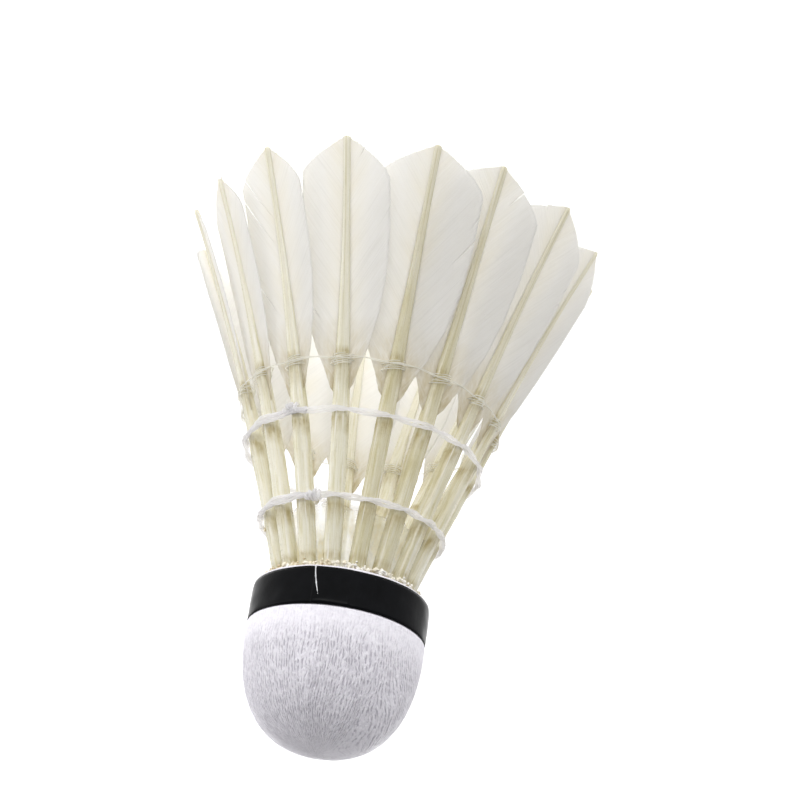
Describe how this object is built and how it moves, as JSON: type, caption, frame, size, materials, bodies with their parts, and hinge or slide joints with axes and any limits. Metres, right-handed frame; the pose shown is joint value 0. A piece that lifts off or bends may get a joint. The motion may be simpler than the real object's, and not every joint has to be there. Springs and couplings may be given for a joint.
{
  "type": "feather shuttlecock",
  "caption": "Badminton shuttlecock: rounded leather-covered cork base with a tape band, and a flared skirt of overlapping goose feathers lashed with thread.",
  "frame": {"origin": "centre of the circle through the feather tips, in the plane that the tips stand on", "axes": "+Z along the axis of symmetry from the open mouth of the skirt to the nose of the cork base; +X through the quill of feather_01"},
  "size_m": [0.0658, 0.0658, 0.0839],
  "materials": {
    "agglomerated_cork": "matt, granular pressed cork",
    "natural_cork": "matt, fine grained sheet cork",
    "white_leather": "thin white kid leather, satin, finely wrinkled",
    "black_tape": "glossy black film tape",
    "feather_white": "goose feather, off-white vane and horn-coloured shaft",
    "cotton_thread": "twisted white cotton thread under thin clear glue",
    "fine_thread": "fine translucent thread",
    "clear_glue": "clear hardened glue, glossy"
  },
  "bodies": {
    "root": {"cork_core": "agglomerated_cork", "cork_disc": "natural_cork", "leather_cover": "white_leather", "band_tape": "black_tape", "feather_01": "feather_white", "feather_02": "feather_white", "feather_03": "feather_white", "feather_04": "feather_white", "feather_05": "feather_white", "feather_06": "feather_white", "feather_07": "feather_white", "feather_08": "feather_white", "feather_09": "feather_white", "feather_10": "feather_white", "feather_11": "feather_white", "feather_12": "feather_white", "feather_13": "feather_white", "feather_14": "feather_white", "feather_15": "feather_white", "feather_16": "feather_white", "lower_thread": "cotton_thread", "upper_thread": "cotton_thread", "overlap_thread": "fine_thread", "glue_fillet": "clear_glue"}
  },
  "joints": []
}
